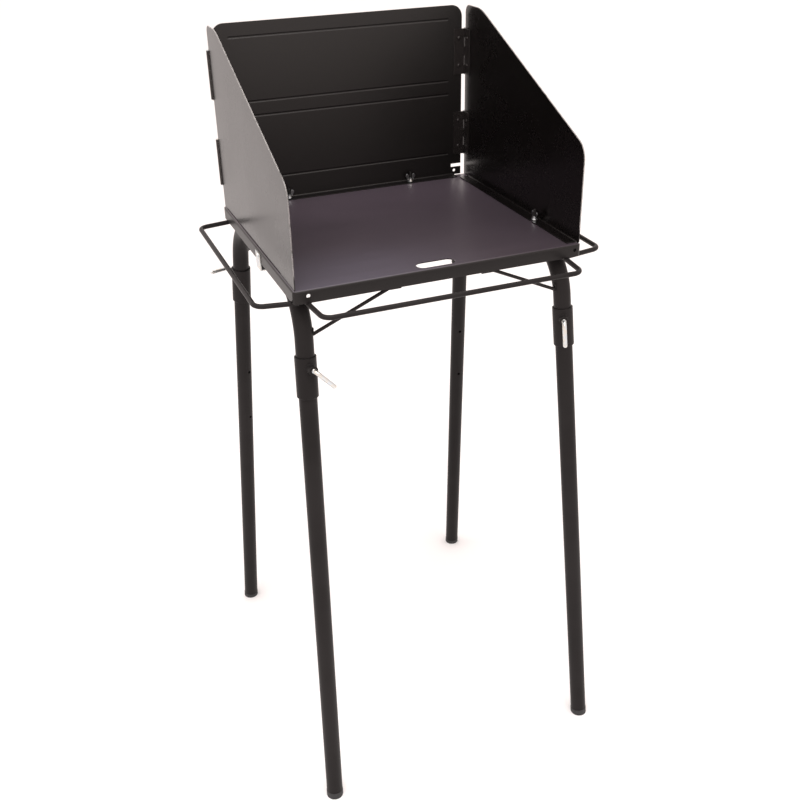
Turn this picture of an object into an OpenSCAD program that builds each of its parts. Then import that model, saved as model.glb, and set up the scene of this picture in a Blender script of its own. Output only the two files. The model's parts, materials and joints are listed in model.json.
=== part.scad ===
// Camp cook table for cast-iron pots: a steel pan top with utensil rails,
// two bent-tube leg frames with plug-in legs, and a hinged wind screen.
// Millimetres, +Z up, +Y to the back, origin on the floor under the middle.

/* [Table top] */
// width of the top, left to right
top_w = 420; // [390:1:450]
// depth of the top, front to back
top_d = 382; // [360:1:410]
// height of the cooking surface above the floor
top_z = 836; // [760:1:900]
// sheet thickness of the pan
sheet_t = 1.5; // [1.2:0.1:2]
// height of the folded lip
lip_h = 18; // [16:1:22]
// outer radius of the folded edge
fold_r = 3; // [2.5:0.5:5]
// corner radius of the top in plan
corner_r = 6; // [4:1:10]
// width of the return flange behind the front and back lips
return_w = 14; // [12:1:16]
// length of the hand hole at the front edge
hand_w = 56; // [45:1:80]
// width of the hand hole, front to back
hand_d = 20; // [16:1:24]
// sideways offset of the hand hole
hand_x = -5; // [-10:1:10]
// distance from the left edge to the left hole in the front lip
lip_hole_left = 20; // [12:1:26]
// distance from the right edge to the right hole in the front lip
lip_hole_right = 10; // [9.5:0.5:20]
// radius of the hole in the front lip
lip_hole_r = 2.75; // [2:0.25:3]

/* [Leg frames] */
// outer diameter of the leg tube
tube_d = 25.4; // [22:0.2:28]
// wall thickness of the leg tube
tube_wall = 1.5; // [1.2:0.1:2]
// distance from the side edge to the axis of the frame tube
run_in = 17.7; // [17.5:0.1:19]
// distance from the front edge to the leg axis below the bend
leg_in = 19; // [15:1:25]
// centreline radius of the tube bend
bend_r = 75; // [60:1:85]
// outward lean of the legs to the side, degrees
splay_side = 2.23; // [1:0.01:4]
// outward lean of the legs to front and back, degrees
splay_deep = 7.07; // [5:0.01:9]
// straight length of the frame stub below the bend
stub_len = 48.5; // [44:0.5:56]
// width of the hanger strap
strap_w = 22; // [16:1:28]
// distance of the strap in front of the middle of the side
strap_y = 20; // [0:1:30]
// diameter of the stay rod
stay_d = 5; // [4:0.5:6]

/* [Legs] */
// outer diameter of the leg socket
socket_d = 30; // [29.6:0.2:34]
// length of the leg socket
socket_len = 57; // [50:1:64]
// sliding gap around the stub
slide_gap = 0.3; // [0.25:0.05:0.5]
// depth of the first peg hole below the stub end
peg_a = 168; // [120:1:200]
// depth of the second peg hole below the stub end
peg_b = 263; // [220:1:300]
// visible height of the foot cap
cap_h = 9; // [6:1:14]

/* [Clamp screws] */
// diameter of the clamp screw rod
screw_d = 6; // [5:0.5:8]
// running gap of the screw in its boss, per side
screw_gap = 0.05; // [0.03:0.01:0.08]
// length of the bent handle
handle_len = 27; // [20:1:40]
// distance the boss stands out from the socket
boss_out = 9; // [7:1:12]
// turn of the front left leg about its own axis, in degrees
turn_left = 26; // [-40:1:40]
// turn of the front right leg about its own axis, in degrees
turn_right = -9; // [-40:1:40]

/* [Rails] */
// diameter of the rail rod
rail_d = 7; // [6:0.5:9]
// distance of the side rails from the lip
side_out = 45; // [35:1:60]
// distance of the front rail from the lip
front_out = 47; // [40:1:65]
// distance from the front edge to the arms of the side rails
arm_in = 14; // [8:1:20]
// distance that an arm of a side rail slants over its length
arm_slant = 10; // [0:1:16]
// centreline radius of the rail corners
rail_bend = 14; // [10:1:20]

/* [Wind screen] */
// height of the back panel above the top
screen_h = 271; // [240:1:300]
// sheet thickness of the wind screen
screen_t = 1.2; // [1:0.1:1.5]
// width of the bottom flange
flange_w = 16; // [15:0.5:18]
// height of the side panel at the front before rounding
front_h = 134; // [110:1:160]
// depth of the level part of the side panel's top edge
level_d = 54; // [40:1:80]
// height of a hinge
hinge_h = 70; // [55:1:80]
// height of the lower hinge's middle above the top
hinge_low = 70; // [60:1:80]
// distance of the upper hinge's middle below the top edge
hinge_drop = 71; // [60:1:90]
// outer radius of a hinge knuckle
knuckle_r = 3; // [2.8:0.1:3.6]
// radius of a hinge pin
pin_r = 1.4; // [1.2:0.1:1.6]
// radius of a wind screen stud
stud_r = 2.5; // [2:0.1:2.6]
// distance from the left panel's front edge to its flange
flange_left = 62; // [4:1:66]
// distance from the right panel's front edge to its flange
flange_right = 6; // [4:1:66]
// distance of the side studs in front of the middle
stud_front = 78; // [40:1:110]
// span of a wing nut
nut_span = 17.6; // [16:0.2:18]
// length of the slot at the back panel's lower corners
slot_w = 18; // [12:1:24]
// height of that slot
slot_h = 5.5; // [4:0.5:8]
// height of that slot above the top
slot_z = 13.5; // [12:0.5:16]
// radius of the hole below the slot
tab_hole_r = 2.4; // [2:0.1:3]

/* [Hidden] */
$fn = 64;

PAINT = "#1e1b1c";
TOP_PAINT = "#3a3439";
ZINC = "#b9bcc0";
PLASTIC = "#141414";

// a hair's breadth between pieces of one body that are welded or pressed
seat = 0.02;
// gap between a moving piece and the piece it rests on
rest = 0.3;

tube_r = tube_d / 2;
bore_r = tube_r - tube_wall;
lip_z = top_z - lip_h;
under_z = top_z - sheet_t;

// axis of the frame tube under the side of the top
run_x = top_w / 2 - run_in;
run_z = under_z - tube_r - seat;
// the bend turns the tube from level to the leaning leg
turn = 90 - splay_deep;
leg_y = top_d / 2 - leg_in;
run_y = leg_y - bend_r * sin(turn);
leg_s = bend_r * (1 - cos(turn));

// hanger strap and the rivet that holds it to the lip
strap_t = 1.5;
rivet_r = 2;
rivet_z = top_z - lip_h / 2;

// distance down the leg axis from the end of the bend to the floor
floor_t = (run_z / cos(splay_side) - leg_s) / cos(splay_deep);
tube_end = floor_t - cap_h;
socket_t = stub_len - socket_len / 2;
boss_t = socket_t + socket_len / 4;
boss_r = screw_d / 2 + 3.5;
tip_r = tube_r + slide_gap + 0.1;

// side rail arms end under the return flange beside the front rail arms
rail_r = rail_d / 2;
rail_z = lip_z - rail_r - seat;
arm_y = top_d / 2 - arm_in;
front_arm_x = top_w / 2 - sheet_t - 2 * rail_r - rail_r - 8;

// inner faces of the wind screen; the leaves lie on them and roll outward round a pin outside the corner
back_in = top_d / 2 - screen_t;
side_in = top_w / 2 - 2.5 - screen_t;
leaf_t = 1.2;
leaf_w = 17;
roll = knuckle_r - 0.5;
clear = knuckle_r + 0.4;
pin_x = side_in - leaf_t + roll;
pin_y = back_in - leaf_t + roll;
back_half = pin_x - 2 * clear;
side_rear = pin_y - clear;
side_front = -top_d / 2 + 2;
bend_o = 3;
flange_clear = flange_w + 4;
hinge_high = screen_h - hinge_drop;
stud_off = flange_w * 0.58;
stud_h = 18;
nut_z = top_z + rest + screen_t + 0.35;

// shapes that repeat

function unit(v) = v / norm(v);

// rectangle with round corners, centred
module round_rect(w, d, r) {
  square([w - 2 * r, d], center = true);
  square([w, d - 2 * r], center = true);
  for (x = [-1, 1], y = [-1, 1])
    translate([x * (w / 2 - r), y * (d / 2 - r)])
      circle(r);
}

// upright rectangle with round top corners, standing on the x axis
module arch(w, h, r) {
  translate([-w / 2, 0])
    square([w, h - r]);
  translate([-w / 2 + r, 0])
    square([w - 2 * r, h]);
  for (x = [-1, 1])
    translate([x * (w / 2 - r), h - r])
      circle(r);
}

// convex outline with one radius for each corner: the corners are cut off
// at the tangent points and filled with a slice of a circle
module round_poly(p, rad) {
  n = len(p);
  a = [for (i = [0 : n - 1]) unit(p[(i + n - 1) % n] - p[i])];
  b = [for (i = [0 : n - 1]) unit(p[(i + 1) % n] - p[i])];
  half = [for (i = [0 : n - 1]) acos(a[i] * b[i]) / 2];
  from = [for (i = [0 : n - 1]) p[i] + a[i] * rad[i] / tan(half[i])];
  to = [for (i = [0 : n - 1]) p[i] + b[i] * rad[i] / tan(half[i])];
  polygon([for (i = [0 : n - 1], k = [0, 1]) k == 0 ? from[i] : to[i]]);
  for (i = [0 : n - 1]) {
    middle = p[i] + unit(a[i] + b[i]) * rad[i] / sin(half[i]);
    intersection() {
      translate(middle)
        circle(rad[i], $fn = 128);
      polygon([middle, from[i], p[i], to[i]]);
    }
  }
}

// pan blank: round plan corners and round top edges, standing on z = 0
module blank(w, d, h, rp, re) {
  intersection() {
    linear_extrude(h)
      round_rect(w, d, rp);
    rotate([90, 0, 0])
      linear_extrude(d, center = true)
        arch(w, h, re);
    rotate([90, 0, 90])
      linear_extrude(w, center = true)
        arch(d, h, re);
  }
}

// a straight rod runs this far into the bend that it meets, and the bend is
// thinner by bend_thin, so that the two never just touch
bend_thin = 0.05;
function lap(bend) = sqrt(bend * bend_thin);

// round rod through the points p of a level path, with bent corners
module rod_path(p, r, bend) {
  n = len(p);
  u = [for (i = [0 : n - 2]) unit(p[i + 1] - p[i])];
  cut = [
    for (i = [0 : n - 1])
      i == 0 || i == n - 1 ? 0 : bend * tan(acos(u[i - 1] * u[i]) / 2)
  ];
  for (i = [0 : n - 2]) {
    from = i == 0 ? 0 : cut[i] - lap(bend);
    to = i == n - 2 ? 0 : cut[i + 1] - lap(bend);
    start = p[i] + u[i] * from;
    span = norm(p[i + 1] - p[i]) - from - to;
    translate([start.x, start.y, 0])
      rotate([0, 90, atan2(u[i].y, u[i].x)])
        cylinder(r = r, h = span);
  }
  for (i = [1 : n - 2]) {
    left = u[i - 1].x * u[i].y - u[i - 1].y * u[i].x > 0 ? 1 : -1;
    side = [-u[i - 1].y, u[i - 1].x] * left;
    middle = p[i] - u[i - 1] * cut[i] + side * bend;
    from = atan2(-side.y, -side.x);
    sweep = acos(u[i - 1] * u[i]);
    translate([middle.x, middle.y, 0])
      rotate([0, 0, left > 0 ? from : from - sweep])
        rotate_extrude(angle = sweep)
          translate([bend, 0])
            circle(r - bend_thin);
  }
}

// straight rod between two points
module rod(a, b, r) {
  v = b - a;
  translate(a)
    rotate([0, acos(v.z / norm(v)), atan2(v.y, v.x)])
      cylinder(r = r, h = norm(v));
}

// wall folded into a bottom flange: the wall's outer face is at x = 0 and
// the flange runs towards -x on z = 0
module fold(h, f, len) {
  rotate([90, 0, 0])
    linear_extrude(len, center = true) {
      translate([-screen_t, bend_o])
        square([screen_t, h - bend_o]);
      translate([-screen_t - f, 0])
        square([screen_t + f - bend_o, screen_t]);
      translate([-bend_o, bend_o])
        intersection() {
          difference() {
            circle(bend_o);
            circle(bend_o - screen_t);
          }
          translate([0, -bend_o])
            square([bend_o, bend_o]);
        }
    }
}

// plane of one leg frame: x across, y along the frame tube, -z down the leg
module frame_plane(sx) {
  translate([sx * run_x, 0, run_z])
    rotate([0, -sx * splay_side, 0])
      children();
}

// leg axis: +z runs down the leg from the end of the bend
module on_leg(sx, sy) {
  frame_plane(sx)
    rotate([0, 0, sy > 0 ? 0 : 180])
      translate([0, leg_y, -leg_s])
        rotate([180 + splay_deep, 0, 0])
          children();
}

// bent leg frame of radius r: level run, two bends and two stubs
module frame_rod(sx, r, extra = 0) {
  frame_plane(sx) {
    rotate([90, 0, 0])
      cylinder(r = r, h = 2 * (run_y + lap(bend_r)), center = true);
    for (a = [0, 180])
      rotate([0, 0, a])
        translate([0, run_y, -bend_r])
          rotate([0, -90, 0])
            rotate_extrude(angle = turn)
              translate([bend_r, 0])
                circle(r - bend_thin);
  }
  for (sy = [-1, 1])
    on_leg(sx, sy)
      translate([0, 0, -lap(bend_r)])
        cylinder(r = r, h = stub_len + lap(bend_r) + extra);
}

// boss direction around the leg: the front bosses face forward and a
// little to the left, the rear ones are their mirror image
function boss_turn(sx, sy) = sy > 0 ? -107 : -73 - (sx > 0 ? turn_right : turn_left);

module on_boss(sx, sy) {
  on_leg(sx, sy)
    translate([0, 0, boss_t])
      rotate([0, 0, boss_turn(sx, sy)])
        rotate([0, 90, 0])
          children();
}

// sub-parts

module table_top() {
  color(TOP_PAINT)
    difference() {
      union() {
        difference() {
          translate([0, 0, lip_z])
            blank(top_w, top_d, lip_h, corner_r, fold_r);
          translate([0, 0, lip_z - 1])
            blank(top_w - 2 * sheet_t, top_d - 2 * sheet_t, lip_h - sheet_t + 1,
                  corner_r - sheet_t, fold_r - sheet_t);
        }
        for (sy = [-1, 1])
          translate([0, sy * (top_d / 2 - sheet_t / 2 - return_w / 2), lip_z + sheet_t / 2])
            cube([top_w - 2 * corner_r, return_w + sheet_t, sheet_t], center = true);
      }
      translate([hand_x, -top_d / 2 + hand_d / 2 + 8, under_z - 1])
        linear_extrude(sheet_t + 2)
          round_rect(hand_w, hand_d, hand_d / 2 - 0.01);
      for (sx = [-1, 1]) {
        translate([sx * (top_w / 2 - (sx > 0 ? lip_hole_right : lip_hole_left)), -top_d / 2 - 1, top_z - 8])
          rotate([-90, 0, 0])
            cylinder(r = lip_hole_r, h = sheet_t + 2);
        translate([sx * (top_w / 2 + 1), -strap_y, rivet_z])
          rotate([0, -sx * 90, 0])
            cylinder(r = rivet_r + seat, h = sheet_t + 2);
      }
    }
}

module side_rail(sx) {
  out = top_w / 2 + side_out;
  end_x = front_arm_x + rail_r + 6;
  color(PAINT)
    translate([0, 0, rail_z])
      mirror([sx > 0 ? 1 : 0, 0, 0])
        rod_path([
          [-end_x, arm_y], [-out, arm_y - arm_slant],
          [-out, arm_slant - arm_y], [-end_x, -arm_y]
        ], rail_r, rail_bend);
}

module rail_front() {
  out = -top_d / 2 - front_out;
  color(PAINT)
    translate([0, 0, rail_z])
      rod_path([
        [-front_arm_x, -top_d / 2 + sheet_t + return_w - 4], [-front_arm_x + 5, out],
        [front_arm_x - 5, out], [front_arm_x, -top_d / 2 + sheet_t + return_w - 4]
      ], rail_r, rail_bend);
}

module leg_frame(sx) {
  color(PAINT)
    difference() {
      frame_rod(sx, tube_r);
      frame_rod(sx, bore_r, 1);
    }
}

// strap hung from the lip: it passes under the tube and back up to the top
module strap(sx) {
  gap = 0.2;
  t = strap_t;
  low = run_z - tube_r - gap - t;
  inner = run_x - tube_r - 1.2 - t;
  outer = top_w / 2;
  color(ZINC)
    translate([0, -strap_y, 0])
      mirror([sx > 0 ? 0 : 1, 0, 0])
        difference() {
          rotate([90, 0, 0])
            linear_extrude(strap_w, center = true)
              union() {
                translate([outer + seat, low])
                  square([t, top_z - 3.5 - low]);
                translate([inner, low])
                  square([outer + seat + t - inner, t]);
                translate([inner, low])
                  square([t, under_z - seat - low]);
                translate([inner - 15, under_z - seat - t])
                  square([15 + t, t]);
              }
          translate([outer - 1, 0, rivet_z])
            rotate([0, 90, 0])
              cylinder(r = rivet_r + seat, h = t + 2);
        }
}

// rivet through the strap and the lip, with its head outside
module strap_rivet(sx) {
  head = strap_t + 2 * seat;
  tail = -sheet_t - seat;
  color(ZINC)
    translate([sx * top_w / 2, -strap_y, rivet_z])
      rotate([0, sx * 90, 0])
        rotate_extrude()
          polygon([
            [0, tail - 1.2], [3.2, tail - 1.2], [3.2, tail], [rivet_r, tail], [rivet_r, head],
            [4.2, head], [3.9, head + 1.2], [2.6, head + 1.9], [0, head + 2.1]
          ]);
}

// rod from the frame stub up to the return flange, flat along the flange
module stay(sx, sy) {
  r = stay_d / 2;
  y_end = top_d / 2 - sheet_t - return_w / 2;
  z_end = lip_z - r - seat;
  x_end = 0.37 * top_w / 2;
  knee = [sx * x_end, sy * y_end, z_end - bend_thin];
  color(PAINT)
    difference() {
      union() {
        rod([sx * (run_x + 3), sy * leg_y, run_z - leg_s + 3], knee, r - bend_thin);
        rod(knee, knee - [sx * 18, 0, 0], r - bend_thin);
        translate(knee)
          sphere(r);
      }
      on_leg(sx, sy)
        translate([0, 0, -40])
          cylinder(r = tube_r + 2 * bend_thin, h = 80);
    }
}

module lower_leg(sx, sy) {
  hole = sx < 0 ? (sy > 0 ? 60 : 120) : (sy > 0 ? 98 : 82);
  color(PAINT)
    on_leg(sx, sy)
      difference() {
        translate([0, 0, stub_len + rest + 0.1])
          cylinder(r = tube_r, h = tube_end - stub_len - rest - 0.1);
        translate([0, 0, stub_len - 1])
          cylinder(r = bore_r, h = tube_end);
        for (d = [peg_a, peg_b])
          translate([0, 0, stub_len + d])
            rotate([0, 90, hole])
              cylinder(r = 2.5, h = tube_d);
      }
}

// sleeve welded on the leg: its upper half slips over the stub and carries
// the threaded boss of the clamp screw
module socket(sx, sy) {
  color(PAINT)
    difference() {
      union() {
        on_leg(sx, sy)
          translate([0, 0, socket_t])
            cylinder(r = socket_d / 2, h = socket_len);
        on_boss(sx, sy)
          translate([0, 0, tube_r])
            cylinder(r = boss_r, h = socket_d / 2 - tube_r + boss_out);
      }
      on_leg(sx, sy)
        translate([0, 0, socket_t - 1]) {
          cylinder(r = tube_r + slide_gap, h = socket_len / 2 + 1 + rest + 0.1);
          cylinder(r = tube_r + seat, h = socket_len + 2);
        }
      on_boss(sx, sy)
        cylinder(r = screw_d / 2 + screw_gap, h = socket_d + boss_out);
    }
}

// plug with a sole cut level with the floor
module foot(sx, sy) {
  color(PLASTIC)
    difference() {
      on_leg(sx, sy) {
        translate([0, 0, tube_end])
          cylinder(r = tube_r + 0.4, h = cap_h + 6);
        translate([0, 0, tube_end - 16])
          cylinder(r = bore_r - 5 * seat, h = 17);
      }
      translate([sx * run_x, sy * leg_y, -50])
        cube([400, 400, 100], center = true);
    }
}

// L-shaped clamp screw; turned sets how far the handle is turned at rest
module clamp_screw(sx, sy, turned) {
  r = screw_d / 2;
  bend = 7;
  straight = socket_d / 2 + boss_out + 3 - tip_r;
  color(ZINC)
    on_boss(sx, sy)
      rotate([0, 0, turned])
        translate([0, 0, tip_r]) {
          cylinder(r = r, h = straight);
          translate([bend, 0, straight])
            rotate([90, 0, 0])
              rotate([0, 0, 90])
                rotate_extrude(angle = 90)
                  translate([bend, 0])
                    circle(r);
          translate([bend, 0, straight + bend])
            rotate([0, 90, 0])
              cylinder(r = r, h = handle_len);
          translate([bend + handle_len, 0, straight + bend])
            sphere(r);
        }
}

module stud_at(sx, back) {
  translate(back ? [sx * top_w / 4, back_in - stud_off, 0] : [sx * (side_in - stud_off), -stud_front, 0])
    children();
}

// back panel with a folded flange, pressed beads, and a slot and a hole at
// each lower corner, where the flange is cut back
module screen_back() {
  bead_len = 2 * back_half - 47;
  color(PAINT)
    difference() {
      union() {
        intersection() {
          translate([0, top_d / 2, top_z])
            rotate([0, 0, 90])
              fold(screen_h, flange_w, 2 * back_half);
          translate([0, top_d / 2 + 1, top_z])
            rotate([90, 0, 0])
              linear_extrude(flange_w + 10)
                arch(2 * back_half, screen_h, 18);
        }
        for (z = [0.137, 0.496, 0.575, 0.923])
          translate([0, back_in + 1.2, top_z + z * screen_h])
            rotate([0, 90, 0])
              cylinder(r = 2.2, h = bead_len, center = true);
      }
      for (z = [0.137, 0.496, 0.575, 0.923])
        translate([0, top_d / 2 + 0.6, top_z + z * screen_h])
          rotate([0, 90, 0])
            cylinder(r = 1.5, h = bead_len - 2, center = true);
      translate([-top_w, top_d / 2, top_z + bend_o])
        cube([2 * top_w, 10, screen_h]);
      for (sx = [-1, 1]) {
        translate([sx * back_half, top_d / 2, top_z + slot_z + slot_h / 2])
          cube([2 * slot_w, 20, slot_h], center = true);
        translate([sx * back_half, back_in - 10, top_z])
          cube([2 * slot_w - 10, 20, 2 * bend_o], center = true);
        translate([sx * (back_half - slot_w + 6), back_in - 2, top_z + slot_z / 2 + 1])
          rotate([-90, 0, 0])
            cylinder(r = tab_hole_r, h = 6);
        stud_at(sx, true)
          translate([0, 0, top_z - 1])
            cylinder(r = stud_r + 0.9, h = 4);
      }
    }
}

// side panel: sloping top edge, folded flange with a slot open to the inside
module side_panel(sx) {
  z0 = top_z + rest;
  flange_back = back_in - flange_clear;
  flange_front = side_front + (sx > 0 ? flange_right : flange_left);
  color(PAINT)
    mirror([sx > 0 ? 0 : 1, 0, 0])
      difference() {
        union() {
          translate([side_in, 0, z0])
            rotate([90, 0, 90])
              linear_extrude(screen_t)
                difference() {
                  round_poly([
                    [side_front, 0], [side_rear, 0], [side_rear, screen_h],
                    [side_rear - level_d, screen_h], [side_front, front_h]
                  ], [3, 2, 12, 80, 28]);
                  translate([flange_front, -1])
                    square([flange_back - flange_front, bend_o + 1]);
                }
          translate([side_in + screen_t, (flange_back + flange_front) / 2, z0])
            fold(bend_o + 2, flange_w, flange_back - flange_front);
        }
        stud_at(1, false) {
          translate([0, 0, top_z])
            cylinder(r = stud_r + 0.9, h = 4);
          translate([-10, 0, top_z + 2])
            cube([20, 2 * stud_r + 1.8, 4], center = true);
        }
      }
}

// one knuckle barrel of a hinge, number i of five, with a bored hole
module knuckle(i, r) {
  pitch = hinge_h / 5;
  translate([0, 0, i * pitch + 0.2])
    cylinder(r = r, h = pitch - 0.4);
}

module hinge_at(sx, z) {
  mirror([sx > 0 ? 0 : 1, 0, 0])
    translate([pin_x, pin_y, top_z + z - hinge_h / 2])
      children();
}

// leaf on the inner face of the back panel, with three of the five knuckles
module leaf_back(sx, z) {
  pitch = hinge_h / 5;
  color(PAINT)
    hinge_at(sx, z)
      difference() {
        union() {
          translate([-clear - leaf_w, -roll, 0])
            cube([leaf_w, leaf_t, hinge_h]);
          for (i = [0, 2, 4]) {
            translate([-clear - 1, -roll, i * pitch + 0.2])
              cube([clear + 1, leaf_t, pitch - 0.4]);
            knuckle(i, knuckle_r);
          }
          for (k = [0.2, 0.8])
            translate([-clear - leaf_w / 2, -roll, k * hinge_h])
              rotate([90, 0, 0])
                cylinder(r1 = 2.4, r2 = 1.4, h = 1);
        }
        translate([0, 0, -1])
          cylinder(r = pin_r + seat, h = hinge_h + 2);
      }
}

// leaf on the inner face of a side panel, with the other two
module leaf_side(sx, z) {
  pitch = hinge_h / 5;
  color(PAINT)
    hinge_at(sx, z)
      difference() {
        union() {
          translate([-roll, -clear - leaf_w, 0])
            cube([leaf_t, leaf_w, hinge_h]);
          for (i = [1, 3]) {
            translate([-roll, -clear - 1, i * pitch + 0.2])
              cube([leaf_t, clear + 1, pitch - 0.4]);
            knuckle(i, knuckle_r);
          }
          for (k = [0.2, 0.8])
            translate([-roll, -clear - leaf_w / 2, k * hinge_h])
              rotate([0, -90, 0])
                cylinder(r1 = 2.4, r2 = 1.4, h = 1);
        }
        translate([0, 0, -1])
          cylinder(r = pin_r + 0.06, h = hinge_h + 2);
      }
}

module hinge_pin(sx, z) {
  color(ZINC)
    hinge_at(sx, z)
      rotate_extrude()
        polygon([
          [0, -1.4], [pin_r + 0.9, -1.2], [pin_r + 0.9, 0], [pin_r, 0],
          [pin_r, hinge_h], [pin_r + 0.9, hinge_h], [pin_r + 0.9, hinge_h + 1.2], [0, hinge_h + 1.4]
        ]);
}

module stud(sx, back) {
  color(ZINC)
    stud_at(sx, back)
      translate([0, 0, top_z])
        rotate_extrude()
          polygon([[0, 0], [stud_r, 0], [stud_r, stud_h - 0.8], [stud_r - 0.8, stud_h], [0, stud_h]]);
}

// wing nut: bored hub with two ears that lean out; across turns the wings
module wing_nut(sx, back) {
  reach = nut_span / 2;
  color(ZINC)
    stud_at(sx, back)
      translate([0, 0, nut_z])
        difference() {
          union() {
            rotate_extrude()
              polygon([[0, 0], [4.8, 0], [4.8, 1.2], [4.3, 2], [3.8, 6.5], [0, 6.5]]);
            rotate([90, 0, back ? 0 : 90])
              linear_extrude(2.2, center = true)
                for (s = [-1, 1])
                  union() {
                    polygon([
                      [s * 2.6, 2.4], [s * 4.6, 2.4], [s * (reach - 0.4), 9.2], [s * (reach - 5.6), 10.6], [s * 2.6, 6]
                    ]);
                    translate([s * (reach - 3), 10])
                      circle(3);
                  }
          }
          translate([0, 0, -1])
            cylinder(r = stud_r + 0.06, h = 20);
        }
}

table_top();
side_rail(-1);  // rail_left
side_rail(1);  // rail_right
rail_front();
leg_frame(-1);  // leg_frame_left
leg_frame(1);  // leg_frame_right
strap(-1);  // strap_left
strap(1);  // strap_right
strap_rivet(-1);  // strap_rivet_left
strap_rivet(1);  // strap_rivet_right
stay(-1, -1);  // stay_front_left
stay(1, -1);  // stay_front_right
stay(-1, 1);  // stay_rear_left
stay(1, 1);  // stay_rear_right
lower_leg(-1, -1);  // leg_front_left
lower_leg(1, -1);  // leg_front_right
lower_leg(-1, 1);  // leg_rear_left
lower_leg(1, 1);  // leg_rear_right
socket(-1, -1);  // socket_front_left
socket(1, -1);  // socket_front_right
socket(-1, 1);  // socket_rear_left
socket(1, 1);  // socket_rear_right
foot(-1, -1);  // foot_front_left
foot(1, -1);  // foot_front_right
foot(-1, 1);  // foot_rear_left
foot(1, 1);  // foot_rear_right
clamp_screw(-1, -1, 225);  // clamp_front_left
clamp_screw(1, -1, 180);  // clamp_front_right
clamp_screw(-1, 1, 270);  // clamp_rear_left
clamp_screw(1, 1, 160);  // clamp_rear_right
screen_back();
side_panel(-1);  // screen_left
side_panel(1);  // screen_right
leaf_back(-1, hinge_low);  // leaf_back_left_low
leaf_back(-1, hinge_high);  // leaf_back_left_high
leaf_back(1, hinge_low);  // leaf_back_right_low
leaf_back(1, hinge_high);  // leaf_back_right_high
leaf_side(-1, hinge_low);  // leaf_side_left_low
leaf_side(-1, hinge_high);  // leaf_side_left_high
leaf_side(1, hinge_low);  // leaf_side_right_low
leaf_side(1, hinge_high);  // leaf_side_right_high
hinge_pin(-1, hinge_low);  // pin_left_low
hinge_pin(-1, hinge_high);  // pin_left_high
hinge_pin(1, hinge_low);  // pin_right_low
hinge_pin(1, hinge_high);  // pin_right_high
stud(-1, true);  // stud_back_left
stud(1, true);  // stud_back_right
stud(-1, false);  // stud_side_left
stud(1, false);  // stud_side_right
wing_nut(-1, true);  // nut_back_left
wing_nut(1, true);  // nut_back_right
wing_nut(-1, false);  // nut_side_left
wing_nut(1, false);  // nut_side_right
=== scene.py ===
"""Looks of a steel cook table with a folding wind screen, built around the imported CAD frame."""

import json
import math

import bmesh
import bpy
from mathutils import Matrix, Vector


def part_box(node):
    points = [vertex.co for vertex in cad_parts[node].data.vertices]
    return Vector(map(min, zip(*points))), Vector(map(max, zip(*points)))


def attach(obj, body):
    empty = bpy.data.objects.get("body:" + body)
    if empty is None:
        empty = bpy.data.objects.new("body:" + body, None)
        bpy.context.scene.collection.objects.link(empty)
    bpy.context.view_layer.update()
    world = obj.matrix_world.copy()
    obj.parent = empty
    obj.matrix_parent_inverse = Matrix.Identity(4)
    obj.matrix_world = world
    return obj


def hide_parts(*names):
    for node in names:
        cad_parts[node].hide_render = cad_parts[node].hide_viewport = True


bl_info = {
    "name": "Cook Table",
    "version": (1, 0, 0),
    "blender": (4, 5, 0),
    "location": "3D View > Sidebar > Cook Table",
    "description": "Paints a steel cook table, adds its small metalwork and sets a plain studio",
    "category": "Object",
}

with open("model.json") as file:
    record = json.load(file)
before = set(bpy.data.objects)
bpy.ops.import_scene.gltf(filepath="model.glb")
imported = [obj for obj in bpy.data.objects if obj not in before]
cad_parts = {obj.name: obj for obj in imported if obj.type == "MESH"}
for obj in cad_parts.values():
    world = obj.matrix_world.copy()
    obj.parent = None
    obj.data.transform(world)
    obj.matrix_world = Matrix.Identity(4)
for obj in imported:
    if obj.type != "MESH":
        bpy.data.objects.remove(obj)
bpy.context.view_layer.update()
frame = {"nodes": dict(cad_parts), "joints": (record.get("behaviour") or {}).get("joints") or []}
joints = {joint["name"]: joint for joint in frame["joints"]}

SIDES = ("left", "right")
CORNERS = ("front_left", "front_right", "rear_left", "rear_right")
UP = Vector((0.0, 0.0, 1.0))

# Sizes of the solids that the welds, threads and rivets fit, in metres.
SHEET = 0.0012
TUBE_R = 0.0127
SOCKET_R = 0.015
SOCKET_LEN = 0.057
BOSS_R = 0.0065
STAY_R = 0.00245
STAY_KNEE_X = 0.0777
CLAMP_R = 0.0033
STUD_R = 0.0025

# Refractive indexes of the paints. A low one keeps the rims of dark tubes dark.
FRAME_INDEX = 1.18
TOP_INDEX = 1.32
BACK_INDEX = 1.42
SCREEN_INDEX = 1.48
COAT_INDEX = 1.5

# How far each finish rounds its edges, in metres.
PAINT_EDGE = 0.0006
CUT_EDGE = 0.0011
PLATE_EDGE = 0.0003
MOULD_EDGE = 0.0008


class Shade:
    """One socket of a finish. Arithmetic on it adds Math nodes."""

    def __init__(self, finish, socket):
        self.finish = finish
        self.socket = socket

    def math(self, operation, *values, clamp=False):
        settings = {"operation": operation, "use_clamp": clamp}
        return self.finish.add("ShaderNodeMath", settings, dict(enumerate(values)))

    def __add__(self, other):
        return self.math("ADD", self, other)

    def __radd__(self, other):
        return self.math("ADD", other, self)

    def __sub__(self, other):
        return self.math("SUBTRACT", self, other)

    def __rsub__(self, other):
        return self.math("SUBTRACT", other, self)

    def __mul__(self, other):
        return self.math("MULTIPLY", self, other)

    def clamped(self):
        return self.math("ADD", self, 0.0, clamp=True)

    def between(self, low, high):
        """0 at low, 1 at high, smooth between and level beyond. High may be the smaller one."""
        settings = {"interpolation_type": "SMOOTHSTEP"}
        values = {"Value": self, "From Min": low, "From Max": high}
        return self.finish.add("ShaderNodeMapRange", settings, values)


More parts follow.
